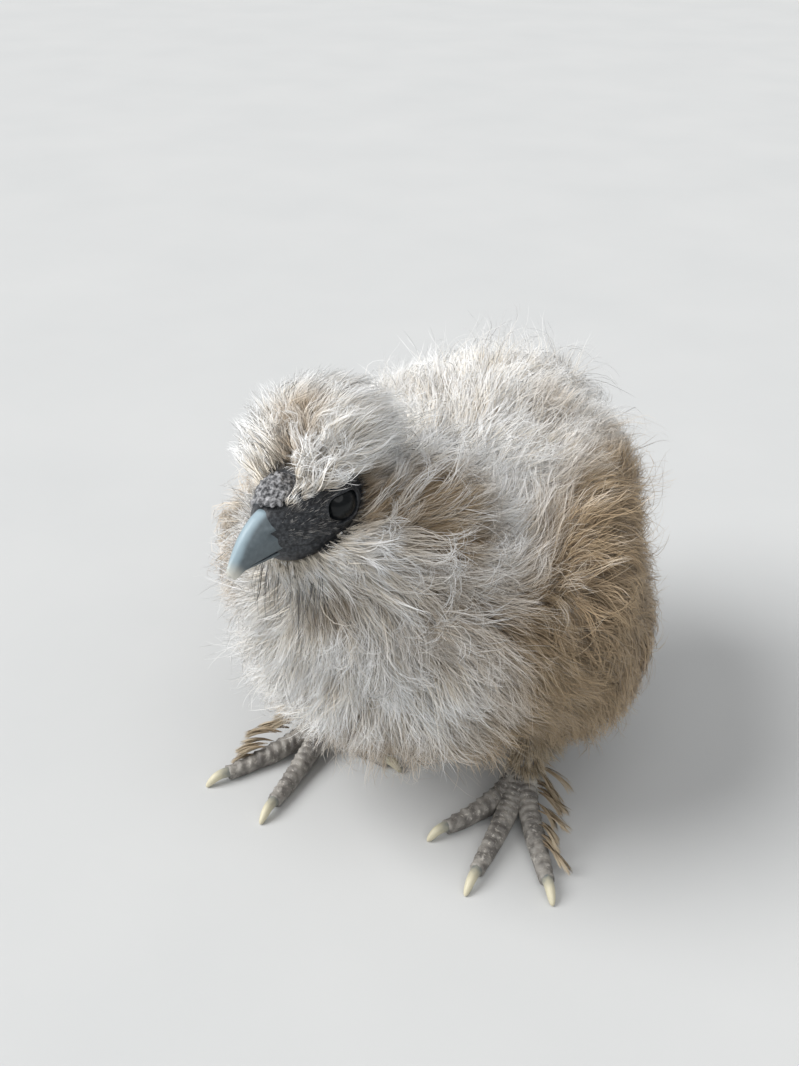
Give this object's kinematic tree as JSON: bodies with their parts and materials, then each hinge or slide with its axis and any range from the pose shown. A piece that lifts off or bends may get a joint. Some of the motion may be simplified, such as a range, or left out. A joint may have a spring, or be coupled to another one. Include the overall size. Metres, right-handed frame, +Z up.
{
  "type": "silkie chicken",
  "caption": "Young bearded silkie hen standing at rest, with a small round crest, soft plumes, feathered shanks and the head turned a little to its right.",
  "frame": {"origin": "on the floor, under the middle of the whole bird's box", "axes": "+Z up, -Y the way the body faces, +X the bird's left"},
  "size_m": [0.138, 0.1882, 0.1554],
  "materials": {
    "plume": "soft",
    "comb": "matte",
    "beak": "satin",
    "eye": "wet",
    "scale": "matte",
    "claw": "satin"
  },
  "bodies": {
    "root": {"beak_lower": "beak", "beak_upper": "beak", "claw_left_fifth": "claw", "claw_left_hind": "claw", "claw_left_inner": "claw", "claw_left_middle": "claw", "claw_left_outer": "claw", "claw_right_fifth": "claw", "claw_right_hind": "claw", "claw_right_inner": "claw", "claw_right_middle": "claw", "claw_right_outer": "claw", "comb": "comb", "eye_left": "eye", "eye_right": "eye", "head": "plume", "neck": "plume", "shank_left": "scale", "shank_right": "scale", "tail": "plume", "thigh_left": "plume", "thigh_right": "plume", "toe_left_fifth": "scale", "toe_left_hind": "scale", "toe_left_inner": "scale", "toe_left_middle": "scale", "toe_left_outer": "scale", "toe_right_fifth": "scale", "toe_right_hind": "scale", "toe_right_inner": "scale", "toe_right_middle": "scale", "toe_right_outer": "scale", "torso": "plume", "wing_left": "plume", "wing_right": "plume"}
  },
  "joints": []
}
